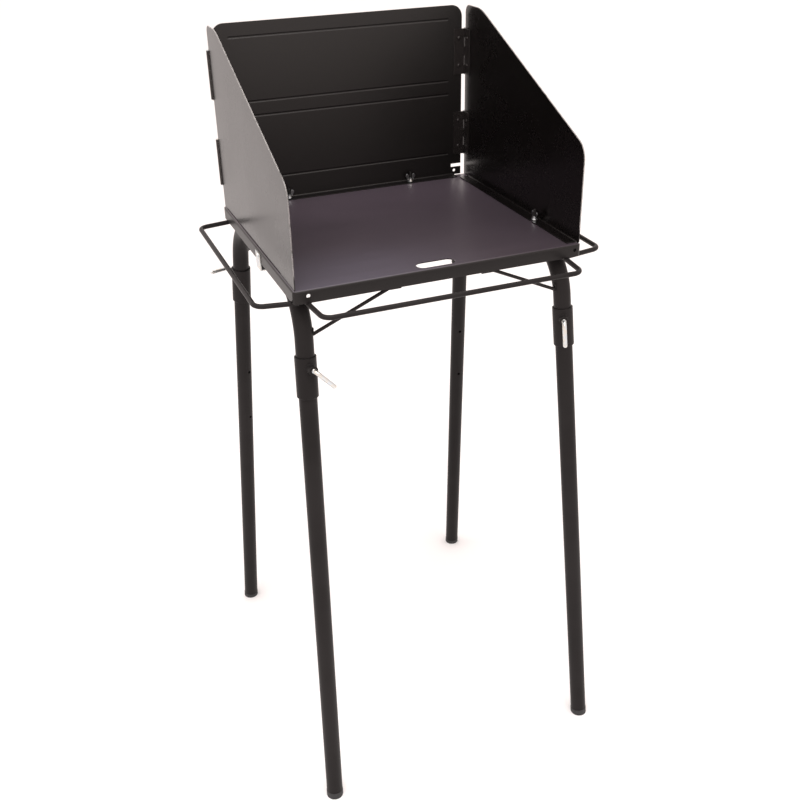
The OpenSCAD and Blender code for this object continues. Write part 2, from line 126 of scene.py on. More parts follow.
class Finish:
    """The node tree of one material, ending in a Principled shader."""

    edge_samples = 6
    edge_gain = 5.0

    def __init__(self, name):
        self.material = bpy.data.materials.new(name)
        self.material.use_nodes = True
        self.tree = self.material.node_tree
        self.tree.nodes.clear()
        self.place = self.add("ShaderNodeTexCoord", out="Object")

    def add(self, kind, settings=None, values=None, out=0):
        """Makes a node, fills its sockets with numbers or links, and gives one output."""
        node = self.tree.nodes.new(kind)
        for key, value in (settings or {}).items():
            setattr(node, key, value)
        for key, value in (values or {}).items():
            socket = self.find(node.inputs, key)
            if isinstance(value, Shade):
                self.tree.links.new(value.socket, socket)
            else:
                socket.default_value = value
        if not node.outputs:
            return node
        return Shade(self, self.find(node.outputs, out))

    @staticmethod
    def find(sockets, key):
        """A socket by its number, its identifier or its name."""
        if isinstance(key, int):
            return sockets[key]
        for socket in sockets:
            if socket.identifier == key:
                return socket
        return sockets[key]

    def noise(self, scale, detail, rough, place=None, distortion=0.0):
        """Noise over the object's coordinates, or over the place given."""
        values = {
            "Vector": place or self.place, "Scale": scale, "Detail": detail,
            "Roughness": rough, "Distortion": distortion,
        }
        return self.add("ShaderNodeTexNoise", None, values, "Fac")

    def along(self, axis):
        """The object's coordinate on one axis."""
        return self.add("ShaderNodeSeparateXYZ", None, {"Vector": self.place}, axis)

    def stretched(self, x, y, z):
        """The object's coordinates with each axis scaled by itself."""
        values = {0: self.place, 1: (x, y, z)}
        return self.add("ShaderNodeVectorMath", {"operation": "MULTIPLY"}, values)

    def mixed(self, mask, low, high):
        """A colour between two, by a mask."""
        settings = {"data_type": "RGBA", "clamp_factor": True}
        values = {"Factor_Float": mask}
        for key, colour in (("A_Color", low), ("B_Color", high)):
            values[key] = colour if isinstance(colour, Shade) else (*colour, 1.0)
        return self.add("ShaderNodeMix", settings, values, "Result_Color")

    def edges(self, radius):
        """A softened normal and a mask that is 1 on sharp edges."""
        settings = {"samples": self.edge_samples}
        soft = self.add("ShaderNodeBevel", settings, {"Radius": radius}, "Normal")
        flat = self.add("ShaderNodeNewGeometry", out="Normal")
        settings = {"operation": "DOT_PRODUCT"}
        same = self.add("ShaderNodeVectorMath", settings, {0: soft, 1: flat}, "Value")
        return soft, ((1.0 - same) * self.edge_gain).clamped()

    def bump(self, height, distance, normal):
        """A normal with a fine relief on it."""
        values = {"Height": height, "Distance": distance, "Normal": normal}
        return self.add("ShaderNodeBump", None, values, "Normal")

    def close(self, **sockets):
        """Ends the tree. Socket names are written with underscores."""
        values = {key.replace("_", " "): value for key, value in sockets.items()}
        shader = self.add("ShaderNodeBsdfPrincipled", None, values, "BSDF")
        self.add("ShaderNodeOutputMaterial", None, {"Surface": shader})
        return self.material


class FinishSettings(bpy.types.PropertyGroup):
    """Colours and gloss of the paints and metals."""

    paint: bpy.props.FloatVectorProperty(
        name="Paint", description="Colour of the frame's satin paint", subtype="COLOR",
        size=3, min=0.0, max=1.0, default=(0.0172, 0.0156, 0.0157),
    )
    paint_rough: bpy.props.FloatProperty(
        name="Paint roughness", description="How matt the frame's paint is", subtype="FACTOR",
        min=0.0, max=1.0, default=0.36,
    )
    screen: bpy.props.FloatVectorProperty(
        name="Screen paint", description="Colour of the wind screen's paint", subtype="COLOR",
        size=3, min=0.0, max=1.0, default=(0.0025, 0.0019, 0.0019),
    )
    hinge: bpy.props.FloatVectorProperty(
        name="Hinge paint", description="Colour of the hinge leaves' paint", subtype="COLOR",
        size=3, min=0.0, max=1.0, default=(0.0105, 0.0088, 0.0086),
    )
    screen_rough: bpy.props.FloatProperty(
        name="Screen roughness", description="How matt the wind screen is", subtype="FACTOR",
        min=0.0, max=1.0, default=0.27,
    )
    back_rough: bpy.props.FloatProperty(
        name="Back roughness", subtype="FACTOR",
        description="How matt the wind screen's back panel is",
        min=0.0, max=1.0, default=0.42,
    )
    lip: bpy.props.FloatVectorProperty(
        name="Lip paint", description="Colour of the paint on the top's lip", subtype="COLOR",
        size=3, min=0.0, max=1.0, default=(0.0112, 0.0101, 0.0102),
    )
    top: bpy.props.FloatVectorProperty(
        name="Top paint", description="Colour of the cooking surface", subtype="COLOR",
        size=3, min=0.0, max=1.0, default=(0.0415, 0.0310, 0.0400),
    )
    # Colour of the painted sheen at the front left of the cooking surface.
    wear_and_highlight: bpy.props.FloatVectorProperty(
        name="Rubbed top", subtype="COLOR",
        description="Colour of the top where pots are dragged on and off",
        size=3, min=0.0, max=1.0, default=(0.098, 0.090, 0.122),
    )
    top_rough: bpy.props.FloatProperty(
        name="Top roughness", description="How matt the cooking surface is", subtype="FACTOR",
        min=0.0, max=1.0, default=0.46,
    )
    zinc: bpy.props.FloatVectorProperty(
        name="Zinc", description="Colour of the plated screws and nuts", subtype="COLOR",
        size=3, min=0.0, max=1.0, default=(0.70, 0.71, 0.72),
    )
    sheen: bpy.props.FloatVectorProperty(
        name="Sheen tint", description="Colour of the satin paint's reflections", subtype="COLOR",
        size=3, min=0.0, max=1.0, default=(1.0, 0.95, 0.93),
    )
    # Colour of the painted light on the upper part of the back panel.
    back_painted_light: bpy.props.FloatVectorProperty(
        name="Dust", subtype="COLOR",
        description="Colour of the back panel's paint under the dust near its top",
        size=3, min=0.0, max=1.0, default=(0.0105, 0.0098, 0.0096),
    )
    # Colour of the painted highlight on the side panels' edges.
    edge_highlight: bpy.props.FloatVectorProperty(
        name="Bare steel", subtype="COLOR",
        description="Colour of the sheet where its cut edges show",
        size=3, min=0.0, max=1.0, default=(0.80, 0.77, 0.75),
    )
    wear: bpy.props.FloatProperty(
        name="Edge wear", description="How much the paint thins on sharp edges", subtype="FACTOR",
        min=0.0, max=1.0, default=0.35,
    )


class MetalworkSettings(bpy.types.PropertyGroup):
    """Sizes of the welds, threads and rivets."""

    bead: bpy.props.FloatProperty(
        name="Weld bead", description="Radius of a weld bead", subtype="DISTANCE", unit="LENGTH",
        min=0.0003, max=0.004, default=0.0013,
    )
    thread: bpy.props.FloatProperty(
        name="Thread depth", description="Depth of the screw threads",
        subtype="DISTANCE", unit="LENGTH", min=0.0, max=0.001, default=0.00045,
    )
    rivet: bpy.props.FloatProperty(
        name="Rivet head", description="Radius of a hinge rivet's head",
        subtype="DISTANCE", unit="LENGTH", min=0.001, max=0.004, default=0.00275,
    )


class StageSettings(bpy.types.PropertyGroup):
    """Floor, light and camera."""

    floor: bpy.props.FloatVectorProperty(
        name="Floor", description="Colour of the floor", subtype="COLOR",
        size=3, min=0.0, max=1.0, default=(0.94, 0.94, 0.945),
    )
    room: bpy.props.FloatVectorProperty(
        name="Room", description="Colour of the room's light", subtype="COLOR",
        size=3, min=0.0, max=1.0, default=(1.0, 0.91, 0.875),
    )
    sky: bpy.props.FloatProperty(
        name="Room light", description="Strength of the room's light",
        min=0.0, max=4.0, default=1.22,
    )
    softbox: bpy.props.FloatProperty(
        name="Softbox", description="Power of the light above", subtype="POWER", unit="POWER",
        min=0.0, max=400.0, default=32.0,
    )
    lens: bpy.props.FloatProperty(
        name="Lens", description="Focal length on a 36 mm sensor", subtype="DISTANCE_CAMERA",
        unit="CAMERA", min=10.0, max=200.0, default=45.0,
    )


def rubbed_edges(finish, wear):
    """A softened normal, and a broken mask of the edges where the paint is thin."""
    soft, edge = finish.edges(PAINT_EDGE)
    return soft, edge * finish.noise(60.0, 3.0, 0.7).between(0.42, 0.62) * wear


def shades(colour, low=0.84, high=1.2):
    """A darker, a lighter and a rubbed tone of a paint."""
    dark = tuple(c * low for c in colour)
    light = tuple(c * high for c in colour)
    wear_and_highlight_tone = tuple(c * 3.0 + 0.03 for c in colour)
    return dark, light, wear_and_highlight_tone


def coated(name, settings, colour, rough, index, wear=1.0, cut=None, painted_light_band=None):
    """Powder-coated steel: fine orange peel, soft mottling and thin paint on the edges.

    Above the height of cut the sharp edges get a painted highlight.
    Between the two heights of the painted light band the paint turns paler: painted light.
    """
    finish = Finish(name)
    cloud = finish.noise(7.0, 4.0, 0.55)
    fine = finish.noise(420.0, 3.0, 0.6)
    peel = finish.noise(950.0, 1.0, 0.4)
    dark, light, wear_and_highlight_tone = shades(colour)
    if cut is None:
        soft, wear_and_highlight = rubbed_edges(finish, settings.wear * wear)
    else:
        # Painted highlight: a pale line on the sharp edges above the height of cut.
        soft, edge = finish.edges(CUT_EDGE)
        broken = finish.noise(60.0, 3.0, 0.7).between(0.2, 0.5)
        wear_and_highlight = edge * broken * finish.along("Z").between(cut, cut + 0.01)
        wear_and_highlight_tone = settings.edge_highlight
    base = finish.mixed(cloud.between(0.3, 0.7), dark, light)
    # Painted light: the paint turns paler between the two heights of the band.
    if painted_light_band is not None:
        base = finish.mixed(finish.along("Z").between(*painted_light_band), base, settings.back_painted_light)
    return finish.close(
        Base_Color=finish.mixed(wear_and_highlight, base, wear_and_highlight_tone),
        Roughness=rough + (cloud - 0.5) * 0.10 + (fine - 0.5) * 0.03,
        Normal=finish.bump(peel * 0.6 + fine * 0.4, 0.000009, soft),
        IOR=index, Specular_Tint=(*settings.sheen, 1.0),
    )


def cooking_surface(name, settings):
    """The top's paint: mottled and wiped on the cooking surface, with painted light making it
    paler towards the rear and a painted sheen at the front left, satin on the lip below it.
    """
    finish = Finish(name)
    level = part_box("table_top")[1].z
    above = finish.along("Z").between(level - 0.0008, level - 0.0001)
    # Painted light: the cooking surface turns paler towards the rear.
    painted_rear_light = finish.along("Y").between(-0.03, 0.18)
    cloud = finish.noise(5.0, 4.0, 0.6)
    wiped = finish.noise(1.0, 3.0, 0.6, finish.stretched(7.0, 60.0, 7.0), 0.4)
    fine = finish.noise(520.0, 2.0, 0.55)
    soft, wear_and_highlight = rubbed_edges(finish, settings.wear)
    dark, light, wear_and_highlight_tone = shades(settings.top, 0.88, 1.45)
    # Random mottling and wiping, mixed with the painted light towards the rear.
    mottle_and_light = (cloud * 0.5 + wiped * 0.3 + painted_rear_light * 0.6).between(0.25, 1.05)
    mottled_and_lit = finish.mixed(mottle_and_light, dark, light)
    # Painted sheen: a paler patch at the front left of the cooking surface.
    painted_sheen = finish.along("Y").between(-0.03, -0.19) * finish.along("X").between(0.09, -0.11)
    mottled_and_lit = finish.mixed(painted_sheen * (0.42 + (wiped - 0.5) * 0.3), mottled_and_lit, settings.wear_and_highlight)
    base = finish.mixed(wear_and_highlight, finish.mixed(above, settings.lip, mottled_and_lit), wear_and_highlight_tone)
    satin = settings.paint_rough + (fine - 0.5) * 0.08
    matt = settings.top_rough + (cloud - 0.5) * 0.12 + (wiped - 0.5) * 0.06
    return finish.close(
        Base_Color=base,
        Roughness=satin + above * (matt - satin),
        Normal=finish.bump(fine, 0.000012, soft),
        IOR=TOP_INDEX, Specular_Tint=(*settings.sheen, 1.0),
        Coat_Weight=above * (0.85 + (cloud - 0.5) * 0.3),
        Coat_Roughness=0.34, Coat_IOR=COAT_INDEX,
    )


def plated(name, colour, dark_from=None):
    """Bright zinc: cloudy passivation over fine drawing marks.

    Above the given height it is darker.
    """
    finish = Finish(name)
    cloud = finish.noise(160.0, 3.0, 0.6)
    drawn = finish.noise(2600.0, 2.0, 0.5)
    warm = tuple(c * k for c, k in zip(colour, (1.0, 0.95, 0.86)))
    cool = tuple(c * k for c, k in zip(colour, (0.92, 0.97, 1.0)))
    base = finish.mixed(cloud.between(0.35, 0.65), warm, cool)
    if dark_from is not None:
        dark = tuple(c * 0.24 for c in colour)
        base = finish.mixed(finish.along("Z").between(dark_from, dark_from + 0.0015), base, dark)
    soft, edge = finish.edges(PLATE_EDGE)
    return finish.close(
        Base_Color=base,
        Roughness=0.24 + cloud * 0.14 + drawn * 0.06 - edge * 0.05,
        Metallic=1.0,
        Normal=finish.bump(drawn, 0.00001, soft),
    )


def moulded(name):
    """Black moulded plastic with a spark-eroded grain and scuffed edges."""
    finish = Finish(name)
    grain = finish.noise(700.0, 3.0, 0.6)
    scuff = finish.noise(90.0, 4.0, 0.7)
    soft, edge = finish.edges(MOULD_EDGE)
    wear_and_highlight = edge * scuff.between(0.4, 0.6) * 0.6
    return finish.close(
        Base_Color=finish.mixed(wear_and_highlight, (0.017, 0.017, 0.018), (0.07, 0.07, 0.072)),
        Roughness=0.5 + grain * 0.16,
        Normal=finish.bump(grain, 0.00006, soft),
    )


def pale_floor(name, colour):
    """A seamless pale studio floor with the slightest unevenness."""
    finish = Finish(name)
    cloud = finish.noise(2.0, 3.0, 0.5)
    base = finish.mixed(cloud, tuple(c * 0.985 for c in colour), colour)
    return finish.close(Base_Color=base, Roughness=0.75 + cloud * 0.1)


def finish_named(name, make):
    """The material of that name, made the first time it is asked for."""
    return bpy.data.materials.get(name) or make(name)


def frame_paint():
    """Paint of the tubes, rods and studs."""
    s = bpy.context.scene.cook_table_finish
    return finish_named("frame_satin", lambda n: coated(n, s, s.paint, s.paint_rough, FRAME_INDEX))


def back_paint():
    """Paint of the back panel, paler towards its top edge from painted light."""
    s = bpy.context.scene.cook_table_finish
    low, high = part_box("screen_back")
    plain_share = 0.4
    painted_light_band = (low.z + plain_share * (high.z - low.z), high.z)

    def make(name):
        return coated(name, s, s.screen, s.back_rough, BACK_INDEX, wear=0.3, painted_light_band=painted_light_band)

    return finish_named("back_satin", make)


def hinge_paint():
    """Paint of the hinge leaves and their rivets."""
    s = bpy.context.scene.cook_table_finish

    def make(name):
        return coated(name, s, s.hinge, s.screen_rough, SCREEN_INDEX)

    return finish_named("hinge_satin", make)


def side_paint():
    """Paint of the side panels, with painted highlights on their edges above their flanges."""
    s = bpy.context.scene.cook_table_finish
    flange = 0.015
    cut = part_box("table_top")[1].z + flange

    def make(name):
        return coated(name, s, s.screen, s.screen_rough, SCREEN_INDEX, cut=cut)

    return finish_named("side_satin", make)


def top_paint():
    """Paint of the table top."""
    s = bpy.context.scene.cook_table_finish
    return finish_named("top_enamel", lambda n: cooking_surface(n, s))


def zinc():
    """Plating of the straps, pins and clamp screws."""
    s = bpy.context.scene.cook_table_finish
    return finish_named("zinc_plate", lambda n: plated(n, s.zinc))


def nut_zinc():
    """Plating of the wing nuts, dark on the wings."""
    s = bpy.context.scene.cook_table_finish
    bright = 0.0042
    dark_from = joints["nut_turn_back_left"]["pos_m"][2] + bright
    return finish_named("nut_plate", lambda n: plated(n, s.zinc, dark_from))


def foot_plastic():
    """Plastic of the foot caps."""
    return finish_named("foot_moulded", moulded)


def paint_nodes(material, *names):
    """Gives CAD nodes a finish."""
    for name in names:
        slots = frame["nodes"][name].data.materials
        slots.clear()
        slots.append(material)


def turns(count):
    """Even angles once around."""
    return [math.tau * k / count for k in range(count)]


def placed(spot, axis, along=UP):
    """A matrix that puts z on the axis and x as near as it can to along."""
    z = Vector(axis).normalized()
    y = z.cross(Vector(along)).normalized()
    return Matrix.Translation(spot) @ Matrix((y.cross(z), y, z)).transposed().to_4x4()


def skin(form, rings, closed=False):
    """Joins rings of points with quads, and closes or caps the two ends."""
    rows = [[form.verts.new(point) for point in ring] for ring in rings]
    pairs = list(zip(rows, rows[1:]))
    if closed:
        pairs.append((rows[-1], rows[0]))
    for low, high in pairs:
        for i in range(len(low)):
            k = (i + 1) % len(low)
            form.faces.new((low[i], low[k], high[k], high[i]))
    if not closed:
        form.faces.new(rows[0][::-1])
        form.faces.new(rows[-1])


def sweep(form, path, radii, up, closed):
    """Runs a round section along a path, one radius for each point."""
    sides = 8
    rings = []
    last = len(path) - 1
    for i, (point, radius) in enumerate(zip(path, radii)):
        before = path[i - 1] if closed or i else point
        after = path[(i + 1) % len(path)] if closed or i < last else point
        ahead = (after - before).normalized()
        across = ahead.cross(up).normalized()
        rise = across.cross(ahead)
        rings.append([
            point + (across * math.cos(t) + rise * math.sin(t)) * radius for t in turns(sides)
        ])
    skin(form, rings, closed)


def weld(form, path, bead, up, closed=False):
    """A hand-laid bead along a path: overlapping puddles of uneven size."""
    steps = 6
    radii = []
    for i in range(len(path)):
        puddle, part = divmod(i, steps)
        size = 1.0 + 0.10 * math.sin(puddle * 2.3) + 0.06 * math.sin(puddle * 5.1 + 1.0)
        radii.append(bead * size * (0.84 + 0.20 * math.sin(math.pi * part / steps)))
    sweep(form, path, radii, up, closed)


def lathe(form, profile, place, steps, closed=False):
    """Turns a profile of radius and height about z."""
    rings = []
    for radius, height in profile:
        rings.append([
            place @ Vector((radius * math.cos(t), radius * math.sin(t), height))
            for t in turns(steps)
        ])
    skin(form, rings, closed)


def thread(form, radius, depth, pitch, length, place):
    """A screw thread about z, with a run-out at both ends."""
    steps = 24
    rows = max(8, round(length / pitch * 8))
    rings = []
    for row in range(rows + 1):
        height = length * row / rows
        fade = min(1.0, height / pitch, (length - height) / pitch)
        ring = []
        for k, angle in enumerate(turns(steps)):
            phase = (height / pitch - k / steps) % 1.0
            groove = min(1.0, 1.25 * abs(2.0 * phase - 1.0))
            cut = radius - depth * (groove * fade + 1.0 - fade)
            ring.append(place @ Vector((cut * math.cos(angle), cut * math.sin(angle), height)))
        rings.append(ring)
    skin(form, rings)


def dome(form, radius, height, place):
    """A round rivet head standing on z = 0, sunk a little into the sheet."""
    sunk = -0.0002
    arc = [math.pi / 2 * k / 6 for k in range(6)]
    profile = [(radius, sunk)] + [(radius * math.cos(a), height * math.sin(a)) for a in arc]
    lathe(form, profile + [(radius * 0.12, height)], place, 20)


def piece(name, form, material, body):
    """Makes a smooth piece of a form and lets it ride on a body."""
    bmesh.ops.recalc_face_normals(form, faces=form.faces)
    mesh = bpy.data.meshes.new(name)
    form.to_mesh(mesh)
    form.free()
    mesh.shade_smooth()
    mesh.materials.append(material)
    made = bpy.data.objects.new(name, mesh)
    bpy.context.scene.collection.objects.link(made)
    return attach(made, body)


def leg_line(corner):
    """A point on the leg at the clamp screw, the way down the leg, and the way out of the boss."""
    clamp = joints[f"clamp_turn_{corner}"]
    down = Vector(joints[f"leg_pull_{corner}"]["axis"]).normalized()
    return Vector(clamp["pos_m"]), down, Vector(clamp["axis"]).normalized()


class CreateTop(bpy.types.Operator):
    """Paints the folded top"""

    bl_idname = "cook_table.top"
    bl_label = "Table Top"

    def execute(self, context):
        paint_nodes(top_paint(), "table_top")
        return {"FINISHED"}


class CreateRails(bpy.types.Operator):
    """Paints the rod rails and welds their arms under the lip"""

    bl_idname = "cook_table.rails"
    bl_label = "Rails"

    sunk = 0.0006
    front_inset = 0.0012
    front_run = (0.0003, 0.0105)
    side_inset = 0.0008
    side_run = (0.0102, 0.0018)

    def execute(self, context):
        paint_nodes(frame_paint(), "rail_left", "rail_right", "rail_front")
        bead = context.scene.cook_table_metalwork.bead
        low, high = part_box("table_top")
        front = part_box("rail_front")
        rod = (front[1].z - front[0].z) / 2
        arm = rod - self.sunk
        z = low.z - self.sunk
        form = bmesh.new()
        for side in (-1, 1):
            x = side * (front[1].x - rod)
            for edge in (-1, 1):
                start = Vector((x + edge * arm, low.y + self.front_inset, z))
                run = Vector((-side * self.front_run[0], self.front_run[1], 0.0))
                self.add_bead(form, start, run, bead)
            for end in (-1, 1):
                y = end * (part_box("rail_left")[1].y - rod - self.side_run[1])
                for edge in (-1, 1):
                    start = Vector((side * (high.x - self.side_inset), y + edge * arm, z))
                    run = Vector((-side * self.side_run[0], end * self.side_run[1], 0.0))
                    self.add_bead(form, start, run, bead)
        piece("rail_welds", form, frame_paint(), "table")
        return {"FINISHED"}

    def add_bead(self, form, start, run, bead):
        last = 30
        weld(form, [start + run * (i / last) for i in range(last + 1)], bead, UP)


class CreateFrames(bpy.types.Operator):
    """Paints the bent leg frames, their stays and straps, and welds the stays on"""

    bl_idname = "cook_table.frames"
    bl_label = "Leg Frames"

    bead_share = 0.8

    def execute(self, context):
        for side in SIDES:
            paint_nodes(frame_paint(), f"leg_frame_{side}")
            paint_nodes(zinc(), f"strap_{side}", f"strap_rivet_{side}")
        paint_nodes(frame_paint(), *[f"stay_{corner}" for corner in CORNERS])
        bead = context.scene.cook_table_metalwork.bead
        form = bmesh.new()
        for corner in CORNERS:
            self.weld_stay(form, corner, bead)
        piece("stay_welds", form, frame_paint(), "table")
        return {"FINISHED"}

    def weld_stay(self, form, corner, bead):
        """A ring where the stay's rod runs into the round of the tube."""
        spot, down, _ = leg_line(corner)
        low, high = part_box(f"stay_{corner}")
        side = 1.0 if high.x > 0.0 else -1.0
        end = 1.0 if high.y > 0.0 else -1.0
        reach = max(abs(low.y), abs(high.y)) - STAY_R
        knee = Vector((side * STAY_KNEE_X, end * reach, high.z - STAY_R))
        into = spot - down * ((spot.z - low.z - STAY_R) / down.z) - knee
        into.normalize()
        ring = placed(knee, into, down)
        path = []
        for angle in turns(60):
            near = ring @ Vector((STAY_R * math.cos(angle), STAY_R * math.sin(angle), 0.0))
            path.append(self.meet(near, into, spot, down, TUBE_R))
        weld(form, path, bead * self.bead_share, into, True)

    def meet(self, point, way, spot, axis, radius):
        """Where a line first meets the round of a tube."""
        off = point - spot
        off -= axis * off.dot(axis)
        flat = way - axis * way.dot(axis)
        a, b, c = flat.length_squared, off.dot(flat), off.length_squared - radius * radius
        return point + way * ((-b - math.sqrt(max(0.0, b * b - a * c))) / a)


class CreateLegs(bpy.types.Operator):
    """Paints the lower legs, their sockets and foot caps, and welds the sockets"""

    bl_idname = "cook_table.legs"
    bl_label = "Legs"

    below_screw = 0.75
    ring_r = 0.0131
    ring_lift = 0.0002

    def execute(self, context):
        bead = context.scene.cook_table_metalwork.bead
        for corner in CORNERS:
            paint_nodes(frame_paint(), f"leg_{corner}", f"socket_{corner}")
            paint_nodes(foot_plastic(), f"foot_{corner}")
            spot, down, out = leg_line(corner)
            lower_end = spot + down * (self.below_screw * SOCKET_LEN)
            form = bmesh.new()
            self.weld_boss(form, placed(spot, out, down), out, bead)
            self.weld_socket(form, placed(lower_end, down, out), down, bead)
            piece(f"socket_welds_{corner}", form, frame_paint(), f"leg_{corner}")
        return {"FINISHED"}

    def weld_boss(self, form, place, out, bead):
        """The saddle where the boss stands on the socket."""
        path = []
        for angle in turns(96):
            across = BOSS_R * math.sin(angle)
            height = math.sqrt(SOCKET_R**2 - across**2)
            path.append(place @ Vector((BOSS_R * math.cos(angle), across, height)))
        weld(form, path, bead, out, True)

    def weld_socket(self, form, place, down, bead):
        """The ring where the socket ends on the leg."""
        r, lift = self.ring_r, self.ring_lift
        path = [place @ Vector((r * math.cos(t), r * math.sin(t), lift)) for t in turns(192)]
        weld(form, path, bead, down, True)


class CreateClamps(bpy.types.Operator):
    """Plates the clamp screws and cuts the thread that shows above the boss"""

    bl_idname = "cook_table.clamps"
    bl_label = "Clamp Screws"

    pitch = 0.0010
    length = 0.0040
    rise = 0.0243

    def execute(self, context):
        depth = context.scene.cook_table_metalwork.thread
        for corner in CORNERS:
            paint_nodes(zinc(), f"clamp_{corner}")
            spot, down, out = leg_line(corner)
            place = placed(spot + out * self.rise, out, down)
            form = bmesh.new()
            thread(form, CLAMP_R, depth, self.pitch, self.length, place)
            piece(f"clamp_thread_{corner}", form, zinc(), f"clamp_{corner}")
        return {"FINISHED"}


class CreateScreen(bpy.types.Operator):
    """Paints the side panels of the wind screen and presses the back panel's beads to the rear"""

    bl_idname = "cook_table.screen"
    bl_label = "Wind Screen"

    fold_top = 0.025
    close = 0.00002
    sharp = math.radians(30.0)

    def execute(self, context):
        paint_nodes(side_paint(), "screen_left", "screen_right")
        self.press_beads()
        return {"FINISHED"}

    def press_beads(self):
        """The back panel with sunk lines in its front and ridges on its rear."""
        low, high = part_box("screen_back")
        front, rear = high.y - SHEET, high.y
        form = bmesh.new()
        form.from_mesh(frame["nodes"]["screen_back"].data)
        bmesh.ops.remove_doubles(form, verts=form.verts, dist=self.close / 10)
        for vert in form.verts:
            if vert.co.z < low.z + self.fold_top:
                continue
            if vert.co.y < front - self.close:
                vert.co.y = 2 * front - vert.co.y
            elif front + self.close < vert.co.y < rear - self.close:
                vert.co.y = 2 * rear - vert.co.y
        panel = piece("back_panel", form, back_paint(), "table")
        panel.data.attributes.remove(panel.data.attributes["custom_normal"])
        panel.data.set_sharp_from_angle(angle=self.sharp)
        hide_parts("screen_back")


class CreateHinges(bpy.types.Operator):
    """Paints the hinge leaves, plates their pins and sets the rivets"""

    bl_idname = "cook_table.hinges"
    bl_label = "Hinges"

    reach = 0.0119
    head_h = 0.0014
    rows = (0.2, 0.8)

    def execute(self, context):
        head = context.scene.cook_table_metalwork.rivet
        back_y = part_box("screen_back")[1].y - 2 * SHEET
        side_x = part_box("screen_right")[1].x - 2 * SHEET
        back_form = bmesh.new()
        for side, sign in zip(SIDES, (-1, 1)):
            pin = joints[f"screen_swing_{side}"]["pos_m"]
            side_form = bmesh.new()
            for level in ("low", "high"):
                leaves = (f"leaf_back_{side}_{level}", f"leaf_side_{side}_{level}")
                paint_nodes(hinge_paint(), *leaves)
                paint_nodes(zinc(), f"pin_{side}_{level}")
                low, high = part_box(f"leaf_back_{side}_{level}")
                for part in self.rows:
                    z = low.z + (high.z - low.z) * part
                    spot = (pin[0] - sign * self.reach, back_y, z)
                    dome(back_form, head, self.head_h, placed(spot, (0.0, -1.0, 0.0)))
                    spot = (sign * side_x, pin[1] - self.reach, z)
                    dome(side_form, head, self.head_h, placed(spot, (-sign, 0.0, 0.0)))
            name = f"rivets_side_{side}"
            piece(name, side_form, hinge_paint(), f"screen_{side}")
        piece("rivets_back", back_form, hinge_paint(), "table")
        return {"FINISHED"}


class CreateNuts(bpy.types.Operator):
    """Casts the wing nuts and cuts the studs' threads"""

    bl_idname = "cook_table.nuts"
    bl_label = "Wing Nuts"

    hub = (
        (0.0027, 0.0), (0.0048, 0.0), (0.0048, 0.0012),
        (0.0043, 0.0022), (0.0039, 0.0065), (0.0027, 0.0065),
    )
    ear_root = ((0.0029, 0.0020), (0.0047, 0.0022), (0.0030, 0.0062))
    ear_tip = (0.0057, 0.0100)
    ear_r = 0.0030
    ear_half = 0.0011
    voxel = 0.00028
    least_faces = 500
    stud_pitch = 0.0008

    def execute(self, context):
        depth = context.scene.cook_table_metalwork.thread
        cast = self.cast_nut()
        for side in SIDES:
            for row, turn in (("back", 0.0), ("side", math.pi / 2)):
                self.set_nut(cast, f"{row}_{side}", turn)
                self.cut_stud(f"{row}_{side}", depth)
        return {"FINISHED"}

    def cast_nut(self):
        """One nut at the origin, its hub and ears fused and rounded like a casting."""
        mesh = bpy.data.meshes.new("nut_pattern")
        form = self.nut_form()
        form.to_mesh(mesh)
        form.free()
        pattern = bpy.data.objects.new("nut_pattern", mesh)
        bpy.context.scene.collection.objects.link(pattern)
        fuse = pattern.modifiers.new("fuse", "REMESH")
        fuse.mode = "VOXEL"
        fuse.voxel_size = self.voxel
        round_off = pattern.modifiers.new("round_off", "SMOOTH")
        round_off.factor = 0.5
        round_off.iterations = 5
        graph = bpy.context.evaluated_depsgraph_get()
        cast = bpy.data.meshes.new_from_object(pattern.evaluated_get(graph))
        bpy.data.objects.remove(pattern)
        if len(cast.polygons) < self.least_faces:
            raise RuntimeError("the wing nut did not fuse")
        cast.shade_smooth()
        cast.materials.clear()
        cast.materials.append(nut_zinc())
        return cast

    def nut_form(self):
        """A turned hub and two hulls for the ears, which run into it."""
        form = bmesh.new()
        lathe(form, self.hub, Matrix.Identity(4), 40, True)
        mid, height = self.ear_tip
        tip = [
            (mid + self.ear_r * math.cos(t), height + self.ear_r * math.sin(t)) for t in turns(20)
        ]
        for side in (-1, 1):
            ear = [
                form.verts.new((side * x, y, z))
                for x, z in (*self.ear_root, *tip) for y in (-self.ear_half, self.ear_half)
            ]
            bmesh.ops.convex_hull(form, input=ear)
        loose = [vert for vert in form.verts if not vert.link_faces]
        bmesh.ops.delete(form, geom=loose, context="VERTS")
        bmesh.ops.recalc_face_normals(form, faces=form.faces)
        return form

    def set_nut(self, cast, place, turn):
        """A copy of the casting on its stud."""
        mesh = cast.copy()
        spot = Vector(joints[f"nut_turn_{place}"]["pos_m"])
        mesh.transform(Matrix.Translation(spot) @ Matrix.Rotation(turn, 4, "Z"))
        nut = bpy.data.objects.new(f"wing_nut_{place}", mesh)
        bpy.context.scene.collection.objects.link(nut)
        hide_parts(f"nut_{place}")
        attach(nut, f"nut_{place}")

    def cut_stud(self, place, depth):
        """The stud with its thread, from the top up."""
        low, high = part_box(f"stud_{place}")
        form = bmesh.new()
        foot = Matrix.Translation(((low.x + high.x) / 2, (low.y + high.y) / 2, low.z))
        thread(form, STUD_R, depth, self.stud_pitch, high.z - low.z, foot)
        stud = piece(f"thread_{place}", form, frame_paint(), "table")
        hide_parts(f"stud_{place}")


